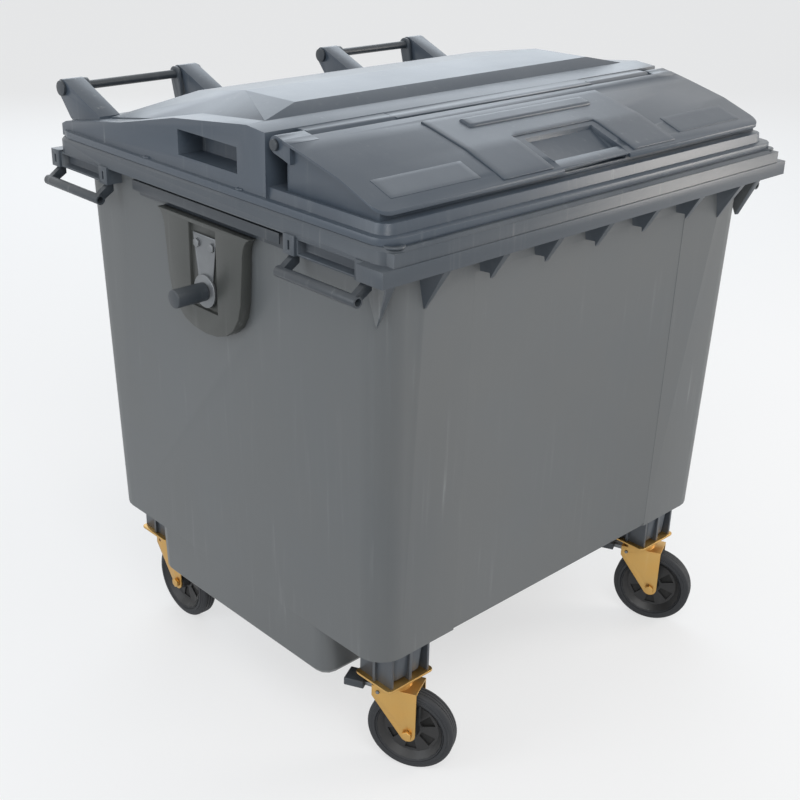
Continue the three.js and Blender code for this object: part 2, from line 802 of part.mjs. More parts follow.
function flap() {
  const foot = rimTop + 2 * seatGap + lidFlangeHeight + ledgeHeight;
  const basinFoot = foot + 4;
  const skirtHalf = flapHalfWidth - 12;
  const sheet = slabX(flapSheetOutline(), -flapHalfWidth, flapHalfWidth);
  const block = slabX(flapSkirtOutline(), -skirtHalf, skirtHalf);
  const inside = box(-skirtHalf + 5, skirtHalf - 5, flapRear - 5, flapFront + 17, foot - 1, 1500);
  const rearCut = box(-skirtHalf + 5, skirtHalf - 5, flapRear - 6, flapRear + 6, foot - 1, 1500);
  const solids = [sheet, cut(block, [inside, rearCut])];
  const bores = [];
  for (const side of [-1, 1]) {
    const inner = side * (knuckleOuter + runGap + 2);
    solids.push(slabX(flapEyeOutline(), inner, side * (flapHalfWidth - 2), 6));
    bores.push(rodX(flapPinRadius + runGap, side * 500, side * 620, flapAxisY, flapAxisZ, 12));
  }
  const basin = hull([-1, 1].flatMap((side) => [
    [side * (scoopHalfWidth + 4), scoopRear + 4, 1350],
    [side * (scoopHalfWidth + 4), scoopRear + 4, 1338],
    [side * (scoopHalfWidth + 4), flapFront + 13, basinFoot],
    [side * (scoopHalfWidth + 4), flapFront + 13, 1312],
    [side * (scoopHalfWidth + 4), scoopFront, basinFoot],
    [side * (scoopHalfWidth + 4), scoopFront - 6, 1323],
  ]));
  const basinInside = hull([-1, 1].flatMap((side) => [
    [side * scoopHalfWidth, scoopRear, 1380],
    [side * scoopHalfWidth, scoopRear, 1343],
    [side * scoopHalfWidth, flapFront - 20, basinFoot + 4],
    [side * scoopHalfWidth, flapFront - 20, 1303],
    [side * scoopHalfWidth, scoopFront, basinFoot + 4],
    [side * scoopHalfWidth, scoopFront, 1380],
  ]));
  const barTop = 1322;
  const bar = hull([-1, 1].flatMap((side) => [
    [side * (scoopHalfWidth + 2), scoopFront, barTop],
    [side * (scoopHalfWidth + 2), scoopFront, barTop - 12],
    [side * (scoopHalfWidth + 2), flapFront + 4, barTop - 12],
    [side * (scoopHalfWidth + 2), flapFront + 4, barTop - 9],
  ]));
  return cut(join([cut(join([...solids, basin]), [basinInside]), bar]), bores);
}

function flapPin(side) {
  const seat = side * (flapHalfWidth - 2 + runGap);
  const head = rodX(flapPinHeadRadius, seat, seat + side * 6, flapAxisY, flapAxisZ, 18);
  const root = side * (knuckleInner + 60 + 1);
  return head.add(rodX(flapPinRadius, root, seat + side, flapAxisY, flapAxisZ, 12));
}

function drainPlug() {
  const foot = keelFloor - seatGap;
  const flange = rodZ(drainRadius + 12, foot - 5, foot, 0, 0, 20);
  const stem = rodZ(drainRadius, foot - 1, keelFloor + wallThickness, 0, 0, 20);
  const bar = box(-drainRadius, drainRadius, -4, 4, foot - 13, foot - 4);
  return join([flange, stem, bar]);
}

// Caster pieces are drawn about the swivel axis, with the wheel trailing towards -Y.
function casterPlate() {
  const top = casterHeight;
  const foot = top - casterPlateThickness;
  const halfX = casterPlateX / 2;
  const halfY = casterPlateY / 2;
  const plate = loft([[foot, halfX, halfY, 10], [top, halfX, halfY, 10]]);
  const collar = rodZ(collarRadius, foot - collarDepth, foot + 1, 0, 0, 16);
  const pin = rodZ(kingpinRadius, 199, foot, 0, 0, 8);
  const nut = rodZ(kingpinRadius + 5, 195, 200, 0, 0, 6);
  const heads = [-1, 1].flatMap((signX) => [-1, 1].map((signY) => (
    rodZ(boltRadius, foot - 6, foot + 1, signX * boltSpreadX, signY * boltSpreadY, 6)
  )));
  return join([plate, collar, pin, nut, ...heads]);
}

function legOutline(top) {
  const shape = new THREE.Shape();
  shape.moveTo(-trail - forkEyeRadius, top);
  shape.lineTo(-trail - forkEyeRadius, wheelRadius);
  shape.absarc(-trail, wheelRadius, forkEyeRadius, Math.PI, Math.PI * 1.85, false);
  shape.lineTo(cupRadius - 2, 184);
  shape.lineTo(cupRadius - 2, top);
  shape.closePath();
  return shape;
}

function fork() {
  const cupTop = casterHeight - casterPlateThickness - collarDepth - runGap;
  const crownTop = cupTop - cupHeight;
  const forkOuter = forkInner + forkSheet;
  const crownRear = -trail - forkEyeRadius;
  const crownFoot = crownTop - crownThickness;
  const crown = box(-forkOuter, forkOuter, crownRear, cupRadius - 2, crownFoot, crownTop);
  const legs = [-1, 1].map((side) => slabX(legOutline(crownTop - 1), side * forkInner, side * forkOuter, 5));
  const cup = loftCup(crownTop - 1, cupTop);
  const axleBore = rodX(axleRadius + seatGap, -60, 60, -trail, wheelRadius, 8);
  const kingBore = rodZ(kingpinRadius + kingpinGap, 190, 240, 0, 0, 8);
  const pedalBore = rodX(4 + runGap, -60, 60, pedalY, pedalZ, 8);
  return cut(join([crown, ...legs, cup]), [axleBore, kingBore, pedalBore]);
}

function loftCup(foot, top) {
  const points = [
    new THREE.Vector2(0, foot),
    new THREE.Vector2(cupRadius, foot),
    new THREE.Vector2(cupRadius, top - 6),
    new THREE.Vector2(cupRadius - 6, top),
    new THREE.Vector2(0, top),
  ];
  const geometry = new THREE.LatheGeometry(points, 12);
  geometry.rotateX(Math.PI / 2);
  return solidOf(geometry);
}

// A ring or disc turned about the wheel axle; each point is a radius and a place along it.
function turned(points, sides) {
  const profile = points.map(([radius, along]) => new THREE.Vector2(radius, along));
  const geometry = new THREE.LatheGeometry(profile, sides);
  geometry.rotateZ(Math.PI / 2);
  geometry.translate(0, -trail, wheelRadius);
  return solidOf(geometry);
}

function tyre() {
  const half = tyreWidth / 2;
  const outer = wheelRadius;
  return turned([
    [tyreInner, -half + 4],
    [tyreInner + 8, -half],
    [outer - 8, -half + 2],
    [outer, -half + 10],
    [outer, half - 10],
    [outer - 8, half - 2],
    [tyreInner + 8, half],
    [tyreInner, half - 4],
    [tyreInner, -half + 4],
  ], wheelSides);
}

function hub() {
  const rimOuter = tyreInner - seatGap;
  const half = hubWidth / 2;
  const boss = forkInner - 1;
  const disc = turned([
    [0, -boss],
    [hubBossRadius, -boss],
    [hubBossRadius, -5],
    [rimOuter - 12, -5],
    [rimOuter, -half],
    [rimOuter, half],
    [rimOuter - 12, 5],
    [hubBossRadius, 5],
    [hubBossRadius, boss],
    [0, boss],
  ], wheelSides);
  const windows = [];
  for (let i = 0; i < spokeCount; i += 1) {
    const angle = (i + 0.5) * 2 * Math.PI / spokeCount;
    const shape = new THREE.Shape();
    const spread = 0.24;
    for (const [radius, turn] of [[26, -spread], [58, -spread], [58, spread], [26, spread]]) {
      const y = -trail + radius * Math.cos(angle + turn);
      const z = wheelRadius + radius * Math.sin(angle + turn);
      if (shape.curves.length || shape.currentPoint.lengthSq() > 0) shape.lineTo(y, z);
      else shape.moveTo(y, z);
    }
    shape.closePath();
    windows.push(slabX(shape, -20, 20));
  }
  return cut(disc, [...windows, rodX(axleRadius + runGap, -60, 60, -trail, wheelRadius, 8)]);
}

function axle() {
  const seat = forkInner + forkSheet + seatGap;
  return join([
    rodX(axleRadius, -seat - 1, seat + 1, -trail, wheelRadius, 8),
    rodX(axleHeadRadius, seat, seat + axleHeadThickness, -trail, wheelRadius, 6),
    rodX(axleHeadRadius, -seat, -seat - axleHeadThickness, -trail, wheelRadius, 6),
  ]);
}

function brakePedal() {
  const reach = pedalY + pedalReach;
  const arm = outline([
    [pedalY - 6, pedalZ - 6],
    [pedalY + 12, pedalZ - 7],
    [reach - 20, pedalZ - 3],
    [reach - 20, pedalZ + 3],
    [pedalY + 20, pedalZ + 4],
    [pedalY, pedalZ + 8],
  ]);
  return join([
    slabX(arm, -pedalHalfWidth + 4, pedalHalfWidth - 4),
    rodX(8, -forkInner + 1, forkInner - 1, pedalY, pedalZ, 14),
    rodX(4, -forkInner - forkSheet - 2, forkInner + forkSheet + 2, pedalY, pedalZ, 8),
  ]);
}

function pedalPad() {
  const reach = pedalY + pedalReach;
  const shell = box(-pedalHalfWidth - 6, pedalHalfWidth + 6, reach - 46, reach, pedalZ - 10, pedalZ + 9);
  const hole = box(
    -pedalHalfWidth + 4 - seatGap,
    pedalHalfWidth - 4 + seatGap,
    reach - 60,
    reach - 20 + seatGap,
    pedalZ - 6 - seatGap,
    pedalZ + 4 + seatGap,
  );
  return shell.subtract(hole);
}

const object = new THREE.Group();
const bin = new THREE.Group();
object.add(bin);
add(bin, 'tub', tub(), looks.tub);
add(bin, 'drain_plug', drainPlug(), looks.handle);
for (const side of [-1, 1]) {
  const sideName = side < 0 ? 'left' : 'right';
  add(bin, `handle_front_${sideName}`, handle(side, handleCentres[0]), looks.handle);
  add(bin, `handle_rear_${sideName}`, handle(side, handleCentres[1]), looks.handle);
  add(bin, `trunnion_shield_${sideName}`, trunnionShield(side), looks.shield);
  add(bin, `trunnion_bracket_${sideName}`, trunnionBracket(side), looks.handle);
  add(bin, `trunnion_pin_${sideName}`, trunnionPin(side), looks.steel);
  add(bin, `trunnion_sleeve_${sideName}`, trunnionSleeve(side), looks.handle);
  add(bin, `trunnion_bolt_front_${sideName}`, trunnionBolt(side, -1), looks.steel);
  add(bin, `trunnion_bolt_rear_${sideName}`, trunnionBolt(side, 1), looks.steel);
  add(bin, `hinge_bar_${sideName}`, hingeBar(side), looks.handle);
  add(bin, `flap_pin_${sideName}`, flapPin(side), looks.handle);
}
add(bin, 'main_lid', mainLid(), looks.lid);
add(bin, 'flap', flap(), looks.lid);

const casters = [
  { name: 'front_left', x: -casterX, y: -casterY, turn: 27, brake: true },
  { name: 'front_right', x: casterX, y: -casterY, turn: 24, brake: true },
  { name: 'rear_left', x: -casterX, y: casterY, turn: 0, brake: false },
  { name: 'rear_right', x: casterX, y: casterY, turn: 0, brake: false },
];
for (const { name, x, y, turn, brake } of casters) {
  const fixed = new THREE.Group();
  fixed.position.set(x, y, 0);
  bin.add(fixed);
  add(fixed, `caster_plate_${name}`, casterPlate(), looks.gold);
  const swivel = new THREE.Group();
  swivel.rotation.z = THREE.MathUtils.degToRad(turn);
  fixed.add(swivel);
  add(swivel, `fork_${name}`, fork(), looks.gold);
  add(swivel, `axle_${name}`, axle(), looks.gold);
  add(swivel, `hub_${name}`, hub(), looks.hub);
  add(swivel, `tyre_${name}`, tyre(), looks.rubber);
  if (brake) {
    add(swivel, `brake_pedal_${name}`, brakePedal(), looks.steel);
    add(swivel, `pedal_pad_${name}`, pedalPad(), looks.handle);
  }
}

// Centre the bin over the origin and stand it on the ground.
bin.updateMatrixWorld(true);
const extent = new THREE.Box3().setFromObject(bin, true);
bin.position.set(
  -(extent.min.x + extent.max.x) / 2,
  -(extent.min.y + extent.max.y) / 2,
  -extent.min.z,
);
export default object;
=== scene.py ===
import json
import math

import bpy
from mathutils import Matrix, Vector


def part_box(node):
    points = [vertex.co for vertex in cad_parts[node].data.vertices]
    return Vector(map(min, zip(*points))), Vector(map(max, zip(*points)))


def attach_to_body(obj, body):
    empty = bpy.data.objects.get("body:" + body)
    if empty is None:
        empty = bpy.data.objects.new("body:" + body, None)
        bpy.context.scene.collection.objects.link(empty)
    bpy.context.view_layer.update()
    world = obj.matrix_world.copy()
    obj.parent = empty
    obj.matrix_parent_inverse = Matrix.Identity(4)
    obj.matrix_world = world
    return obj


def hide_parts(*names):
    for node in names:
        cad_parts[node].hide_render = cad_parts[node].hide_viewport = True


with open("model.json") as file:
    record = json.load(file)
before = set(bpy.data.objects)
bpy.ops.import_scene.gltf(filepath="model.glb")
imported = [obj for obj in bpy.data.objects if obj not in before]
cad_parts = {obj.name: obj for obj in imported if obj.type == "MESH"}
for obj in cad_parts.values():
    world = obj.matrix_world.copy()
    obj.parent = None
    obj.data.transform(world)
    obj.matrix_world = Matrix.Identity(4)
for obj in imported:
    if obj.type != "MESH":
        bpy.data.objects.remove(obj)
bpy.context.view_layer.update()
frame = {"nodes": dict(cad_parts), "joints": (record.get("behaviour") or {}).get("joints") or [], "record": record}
joints = {joint["name"]: joint for joint in frame["joints"]}
bodyOf = {node: body for body, nodes in frame["record"]["behaviour"]["bodies"].items() for node in nodes}
sides = {"left": -1, "right": 1}
corners = ["front_left", "front_right", "rear_left", "rear_right"]
print("frame loaded")


# Effects that several finishes share.

def newGroup(name, inputs, outputs):
    group = bpy.data.node_groups.new(name, "ShaderNodeTree")
    for label, kind, value in inputs:
        socket = group.interface.new_socket(name=label, in_out="INPUT", socket_type=kind)
        socket.default_value = value
    for label, kind in outputs:
        group.interface.new_socket(name=label, in_out="OUTPUT", socket_type=kind)
    return group, group.nodes.new("NodeGroupInput"), group.nodes.new("NodeGroupOutput")


def mathNode(tree, operation, first, second=None):
    node = tree.nodes.new("ShaderNodeMath")
    node.operation = operation
    for index, value in enumerate((first, second)):
        if value is None:
            continue
        if isinstance(value, (int, float)):
            node.inputs[index].default_value = value
        else:
            tree.links.new(value, node.inputs[index])
    return node.outputs[0]


def objectNoise(tree, scale, detail, stretch=(1, 1, 1)):
    coords = tree.nodes.new("ShaderNodeTexCoord")
    mapping = tree.nodes.new("ShaderNodeMapping")
    mapping.inputs["Scale"].default_value = stretch
    noise = tree.nodes.new("ShaderNodeTexNoise")
    noise.inputs["Detail"].default_value = detail
    tree.links.new(coords.outputs["Object"], mapping.inputs["Vector"])
    tree.links.new(mapping.outputs["Vector"], noise.inputs["Vector"])
    if isinstance(scale, (int, float)):
        noise.inputs["Scale"].default_value = scale
    else:
        tree.links.new(scale, noise.inputs["Scale"])
    return noise.outputs["Fac"]


def mouldGrainGroup():
    # Fine spark-eroded grain of a mould with slow waves from the cooling wall.
    group, enter, leave = newGroup(
        "mouldGrain",
        [("Grain Scale", "NodeSocketFloat", 900.0), ("Wave Scale", "NodeSocketFloat", 5.0)],
        [("Height", "NodeSocketFloat"), ("Wave", "NodeSocketFloat")],
    )
    grain = objectNoise(group, enter.outputs["Grain Scale"], 2.0)
    wave = objectNoise(group, enter.outputs["Wave Scale"], 3.0)
    group.links.new(grain, leave.inputs["Height"])
    group.links.new(wave, leave.inputs["Wave"])
    return group


def scuffGroup():
    # Long thin scratches, mostly upright, and worn patches.
    group, enter, leave = newGroup(
        "scuffMask",
        [("Amount", "NodeSocketFloat", 0.3)],
        [("Mask", "NodeSocketFloat")],
    )
    streak = objectNoise(group, 60.0, 6.0, (1, 1, 0.06))
    patch = objectNoise(group, 3.2, 4.0)
    sharp = mathNode(group, "POWER", mathNode(group, "MULTIPLY", streak, 1.55), 14.0)
    area = mathNode(group, "SUBTRACT", patch, 0.38)
    mask = mathNode(group, "MULTIPLY", mathNode(group, "MULTIPLY", sharp, area), enter.outputs["Amount"])
    clamp = group.nodes.new("ShaderNodeClamp")
    group.links.new(mask, clamp.inputs["Value"])
    group.links.new(clamp.outputs[0], leave.inputs["Mask"])
    return group


def dustGroup():
    # Pale dust that settles where a face looks up, broken by noise.
    group, enter, leave = newGroup(
        "dustFilm",
        [("Amount", "NodeSocketFloat", 0.3)],
        [("Mask", "NodeSocketFloat")],
    )
    geometry = group.nodes.new("ShaderNodeNewGeometry")
    split = group.nodes.new("ShaderNodeSeparateXYZ")
    group.links.new(geometry.outputs["Normal"], split.inputs[0])
    up = mathNode(group, "MAXIMUM", split.outputs["Z"], 0.0)
    cloud = objectNoise(group, 7.0, 8.0)
    broken = mathNode(group, "SUBTRACT", cloud, 0.32)
    dust = mathNode(group, "MULTIPLY", mathNode(group, "MULTIPLY", up, broken), enter.outputs["Amount"])
    clamp = group.nodes.new("ShaderNodeClamp")
    group.links.new(dust, clamp.inputs["Value"])
    group.links.new(clamp.outputs[0], leave.inputs["Mask"])
    return group


effects = {"grain": mouldGrainGroup(), "scuff": scuffGroup(), "dust": dustGroup()}


def place(tree, effect, values):
    node = tree.nodes.new("ShaderNodeGroup")
    node.node_tree = effects[effect]
    for label, value in values.items():
        node.inputs[label].default_value = value
    return node


def mixColour(tree, factor, first, second):
    mix = tree.nodes.new("ShaderNodeMix")
    mix.data_type = "RGBA"
    tree.links.new(factor, mix.inputs["Factor"])
    for value, socket in ((first, mix.inputs["A"]), (second, mix.inputs["B"])):
        if isinstance(value, tuple):
            socket.default_value = (*value, 1)
        else:
            tree.links.new(value, socket)
    return mix.outputs["Result"]


def finish(name, values):
    # A moulded, painted or plated finish from its dictionary of values.
    material = bpy.data.materials.new(name)
    material.use_nodes = True
    tree = material.node_tree
    shader = tree.nodes["Principled BSDF"]
    grain = place(tree, "grain", {"Grain Scale": values["grainScale"], "Wave Scale": values["waveScale"]})
    scuff = place(tree, "scuff", {"Amount": values["scuff"]})
    dust = place(tree, "dust", {"Amount": values["dust"]})
    waved = mixColour(tree, grain.outputs["Wave"], values["colour"], values["second"])
    scuffed = mixColour(tree, scuff.outputs["Mask"], waved, values["scuffColour"])
    dusty = mixColour(tree, dust.outputs["Mask"], scuffed, values["dustColour"])
    tree.links.new(dusty, shader.inputs["Base Color"])
    rough = mathNode(tree, "MULTIPLY", grain.outputs["Wave"], values["roughSpread"])
    rough = mathNode(tree, "ADD", rough, values["roughness"])
    worn = mathNode(tree, "MULTIPLY", scuff.outputs["Mask"], values["scuffRough"])
    rough = mathNode(tree, "ADD", rough, worn)
    tree.links.new(rough, shader.inputs["Roughness"])
    shader.inputs["Metallic"].default_value = values["metallic"]
    bump = tree.nodes.new("ShaderNodeBump")
    bump.inputs["Strength"].default_value = values["bump"]
    bump.inputs["Distance"].default_value = values["bumpDepth"]
    tree.links.new(grain.outputs["Height"], bump.inputs["Height"])
    ripple = tree.nodes.new("ShaderNodeBump")
    ripple.inputs["Strength"].default_value = values["ripple"]
    ripple.inputs["Distance"].default_value = values["rippleDepth"]
    tree.links.new(grain.outputs["Wave"], ripple.inputs["Height"])
    tree.links.new(ripple.outputs["Normal"], bump.inputs["Normal"])
    tree.links.new(bump.outputs["Normal"], shader.inputs["Normal"])
    return material


plasticBase = {
    "grainScale": 900.0, "waveScale": 4.0, "scuff": 0.25, "dust": 0.25, "metallic": 0.0,
    "scuffColour": (0.32, 0.33, 0.33), "dustColour": (0.42, 0.42, 0.40),
    "roughness": 0.36, "roughSpread": 0.12, "bump": 0.12, "bumpDepth": 0.0004, "ripple": 0.25,
    "rippleDepth": 0.004, "scuffRough": 0.2,
}
finishValues = {
    "tubPlastic": {**plasticBase, "colour": (0.100, 0.110, 0.117), "second": (0.124, 0.128, 0.127),
                   "roughness": 0.4, "scuff": 0.16},
    # The rim colour, darker and bluer than the tub, is painted shade.
    "rimPaintedShade": {**plasticBase, "colour": (0.050, 0.062, 0.077), "second": (0.062, 0.073, 0.086),
                   "roughness": 0.32},
    "lidPlastic": {**plasticBase, "colour": (0.050, 0.066, 0.088), "second": (0.063, 0.080, 0.102),
                   "roughness": 0.27, "dust": 0.14, "ripple": 0.35},
    "darkPlastic": {**plasticBase, "colour": (0.030, 0.038, 0.048), "second": (0.038, 0.045, 0.053)},
    "shieldPlastic": {**plasticBase, "colour": (0.042, 0.045, 0.043), "second": (0.058, 0.061, 0.056)},
    "tyreRubber": {**plasticBase, "colour": (0.016, 0.018, 0.021), "second": (0.028, 0.030, 0.034),
                   "roughness": 0.62, "dust": 0.35, "scuff": 0.5, "bump": 0.3,
                   "scuffColour": (0.09, 0.09, 0.09), "dustColour": (0.16, 0.155, 0.15)},
    "hubPlastic": {**plasticBase, "colour": (0.012, 0.012, 0.013), "second": (0.02, 0.02, 0.021),
                   "roughness": 0.4, "dust": 0.15},
    # Near-black painted shade for the hub windows.
    "shadePlastic": {**plasticBase, "colour": (0.003, 0.003, 0.003), "second": (0.005, 0.005, 0.005),
                     "roughness": 0.6, "dust": 0.05, "scuff": 0.05},
    "yellowZinc": {**plasticBase, "colour": (0.62, 0.34, 0.09), "second": (0.52, 0.36, 0.14),
                   "waveScale": 14.0, "metallic": 0.92, "roughness": 0.3, "roughSpread": 0.2,
                   "scuff": 0.15, "dust": 0.1, "ripple": 0.1, "scuffColour": (0.7, 0.55, 0.3)},
    "clearZinc": {**plasticBase, "colour": (0.17, 0.18, 0.19), "second": (0.24, 0.25, 0.26),
                  "waveScale": 30.0, "metallic": 0.85, "roughness": 0.4, "scuff": 0.15, "dust": 0.1},
}
finishes = {name: finish(name, values) for name, values in finishValues.items()}
slotFinish = {
    "tub": "tubPlastic", "lid": "lidPlastic", "handle": "darkPlastic", "shield": "shieldPlastic",
    "rubber": "tyreRubber", "hub": "hubPlastic", "gold": "yellowZinc", "steel": "clearZinc",
}
slotOf = {part["node"]: part["material_slot"] for part in frame["record"]["subparts"]}
print("finishes made")


# Small tools for the pieces below.

mergeDistance = 0.00002  # loose triangles closer than this become one surface
flatAngle = 0.6  # degrees between two faces that count as one flat


def only(piece):
    bpy.ops.object.select_all(action="DESELECT")
    piece.hide_set(False)
    piece.select_set(True)
    bpy.context.view_layer.objects.active = piece


def dress(piece, finishName):
    piece.data.materials.clear()
    piece.data.materials.append(finishes[finishName])


def settle(piece):
    # The place goes into the mesh, so the object itself sits at the origin.
    only(piece)
    bpy.ops.object.transform_apply(location=True, rotation=True, scale=True)


def smooth(piece, angle=35):
    only(piece)
    bpy.ops.object.shade_smooth_by_angle(angle=math.radians(angle))


def bevel(piece, width, segments=2, angle=30):
    only(piece)
    modifier = piece.modifiers.new("softEdges", "BEVEL")
    modifier.width = width
    modifier.segments = segments
    modifier.limit_method = "ANGLE"
    modifier.angle_limit = math.radians(angle)
    modifier.harden_normals = False
    modifier.use_clamp_overlap = True
    bpy.ops.object.modifier_apply(modifier=modifier.name)


def roundEdges(piece, wanted, width, segments):
    # Rounds the wanted edges with a radius of their own.
    only(piece)
    bpy.ops.object.mode_set(mode="EDIT")
    bpy.ops.mesh.select_mode(type="EDGE")
    bpy.ops.mesh.select_all(action="DESELECT")
    bpy.ops.object.mode_set(mode="OBJECT")
    points = [vertex.co for vertex in piece.data.vertices]
    for edge in piece.data.edges:
        edge.select = wanted(points[edge.vertices[0]], points[edge.vertices[1]])
    bpy.ops.object.mode_set(mode="EDIT")
    bpy.ops.mesh.bevel(offset=width, segments=segments, affect="EDGES", clamp_overlap=True)
    bpy.ops.object.mode_set(mode="OBJECT")


cornerPlace = {"front": -0.525, "side": 0.59, "apart": 0.001}
domePlace = {"side": 0.56, "front": -0.18, "rear": 0.42, "foot": 1.33, "shortest": 0.12}


def flapCorner(first, second):
    # The short upright edges at the two front corners of the flap.
    v = cornerPlace
    atFront = max(first.y, second.y) < v["front"]
    return atFront and abs(first.x) > v["side"] and (first.xy - second.xy).length < v["apart"]


def domeEdge(first, second):
    # The long edges of the raised part of the main lid.
    v = domePlace
    inside = all(
        abs(point.x) < v["side"] and v["front"] < point.y < v["rear"] and point.z > v["foot"]
        for point in (first, second)
    )
    return inside and (first - second).length > v["shortest"]


broadEdges = {"flap": (flapCorner, 0.035, 5), "main_lid": (domeEdge, 0.014, 4)}


def softened(node, width):
    # A copy of a CAD node with its loose triangles merged and its edges rounded.
    source = frame["nodes"][node]
    only(source)
    bpy.ops.object.duplicate()
    piece = bpy.context.view_layer.objects.active
    piece.parent = None
    for key in list(piece.keys()):
        del piece[key]
    piece.name = node + "_body"
    piece.data.name = piece.name
    only(piece)
    bpy.ops.object.mode_set(mode="EDIT")
    bpy.ops.mesh.select_all(action="SELECT")
    bpy.ops.mesh.remove_doubles(threshold=mergeDistance)
    bpy.ops.mesh.dissolve_limited(angle_limit=math.radians(flatAngle))
    bpy.ops.object.mode_set(mode="OBJECT")
    if node in broadEdges:
        roundEdges(piece, *broadEdges[node])
    bevel(piece, width)
    smooth(piece)
    dress(piece, slotFinish[slotOf[node]])
    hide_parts(node)
    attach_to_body(piece, bodyOf[node])
    return piece


def addCube(name, low, high):
    # A block from its two corners, settled at the origin.
    bpy.ops.object.select_all(action="DESELECT")
    bpy.ops.mesh.primitive_cube_add(size=1, location=[(a + b) / 2 for a, b in zip(low, high)])
    piece = bpy.context.view_layer.objects.active
    piece.name = name
    piece.scale = [abs(b - a) for a, b in zip(low, high)]
    settle(piece)
    return piece


def editFaces(piece, wanted):
    # Opens edit mode with only the wanted faces selected.
    only(piece)
    bpy.ops.object.mode_set(mode="EDIT")
    bpy.ops.mesh.select_mode(type="FACE")
    bpy.ops.mesh.select_all(action="DESELECT")
    bpy.ops.object.mode_set(mode="OBJECT")
    for face in piece.data.polygons:
        face.select = wanted(face)
    bpy.ops.object.mode_set(mode="EDIT")


def dressAs(piece, finishName, body):
    dress(piece, finishName)
    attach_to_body(piece, body)


def attach(piece, body, slotName):
    dressAs(piece, slotFinish[slotName], body)


# Every solid of the container, with its edges rounded. Widths are in metres.

edgeWidths = {
    "tub": 0.0022, "main_lid": 0.0025, "flap": 0.0018, "handle": 0.0015, "trunnion_shield": 0.003,
    "trunnion_bracket": 0.001, "trunnion_pin": 0.0012, "trunnion_sleeve": 0.002, "trunnion_bolt": 0.001,
    "hinge_bar": 0.0003, "flap_pin": 0.0015, "drain_plug": 0.0015, "caster_plate": 0.001,
    "fork": 0.0012, "axle": 0.001, "hub": 0.0012, "brake_pedal": 0.001, "pedal_pad": 0.003,
}
rounded = {}
for node in sorted(frame["nodes"]):
    if not node.startswith("tyre"):
        width = next(value for start, value in edgeWidths.items() if node.startswith(start))
        rounded[node] = softened(node, width)
print("CAD nodes rounded")


# The upper bands, gussets and caster towers of the tub.

rimValues = {
    "bandFoot": 1.09, "fullFoot": 1.2, "proudX": 0.592, "front": -0.531, "rear": 0.486,
    "towerTop": 0.333, "towerX": 0.36, "towerFront": -0.345, "towerRear": 0.3,
}


def paintRimShade(piece):
    # The bands, gussets and towers take the smoother finish of the cores that form them; their darker, bluer
    # colour is painted shade.
    piece.data.materials.append(finishes["rimPaintedShade"])
    v = rimValues
    for face in piece.data.polygons:
        at = face.center
        band = at.z > v["bandFoot"] and (
            abs(at.x) > v["proudX"] or at.y < v["front"] or at.y > v["rear"] or at.z > v["fullFoot"]
        )
        tower = at.z < v["towerTop"] and abs(at.x) > v["towerX"] and (
            at.y < v["towerFront"] or at.y > v["towerRear"]
        )
        if band or tower:
            face.material_index = 1


paintRimShade(rounded["tub"])
print("rim painted")


# The raised fields and the hinge barrels of the flap.

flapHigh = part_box("flap")[1]
panelValues = {
    "centre": {"x": (-0.272, 0.272), "y": (-0.522, -0.295), "lift": 0.0035, "cuts": (34, 16)},
    "rearBar": {"x": (-0.19, 0.19), "y": (-0.352, -0.318), "lift": 0.0085, "cuts": (20, 4)},
    "labelLeft": {"x": (-0.545, -0.315), "y": (-0.503, -0.447), "lift": 0.0011, "cuts": (16, 6)},
    "labelRight": {"x": (0.315, 0.545), "y": (-0.503, -0.447), "lift": 0.0011, "cuts": (16, 6)},
    "scoop": {"x": 0.121, "y": -0.41},
    "start": 0.02, "sunk": 0.0015, "crown": 0.6,
}


def flapPanel(name, notch=False):
    # A thin field that lies on the slope of the flap and stands a little proud of it.
    v = panelValues[name]
    (left, right), (near, far) = v["x"], v["y"]
    bpy.ops.object.select_all(action="DESELECT")
    bpy.ops.mesh.primitive_grid_add(
        x_subdivisions=v["cuts"][0], y_subdivisions=v["cuts"][1], size=1,
        location=((left + right) / 2, (near + far) / 2, flapHigh.z + panelValues["start"]),
    )
    piece = bpy.context.view_layer.objects.active
    piece.name = "flap_" + name
    piece.scale = (right - left, far - near, 1)
    settle(piece)
    if notch:
        scoop = panelValues["scoop"]
        editFaces(piece, lambda face: abs(face.center.x) < scoop["x"] and face.center.y < scoop["y"])
        bpy.ops.mesh.delete(type="FACE")
        bpy.ops.object.mode_set(mode="OBJECT")
    wrap = piece.modifiers.new("lay", "SHRINKWRAP")
    wrap.target = rounded["flap"]
    wrap.wrap_method = "PROJECT"
    wrap.use_project_z = True
    wrap.use_negative_direction = True
    wrap.use_positive_direction = False
    bpy.ops.object.modifier_apply(modifier=wrap.name)
    thick = piece.modifiers.new("thick", "SOLIDIFY")
    thick.thickness = v["lift"] + panelValues["sunk"]
    thick.offset = 2 * v["lift"] / thick.thickness - 1
    bpy.ops.object.modifier_apply(modifier=thick.name)
    bevel(piece, v["lift"] * panelValues["crown"], 3, 40)
    smooth(piece, 50)
    attach(piece, "flap", "lid")


flapPanel("centre", notch=True)
flapPanel("rearBar")
flapPanel("labelLeft")
flapPanel("labelRight")

knuckleValues = {
    "inner": 0.304, "outer": 0.522, "radius": 0.0125, "lip": 0.002, "groove": 0.0012, "edge": 0.0008,
}


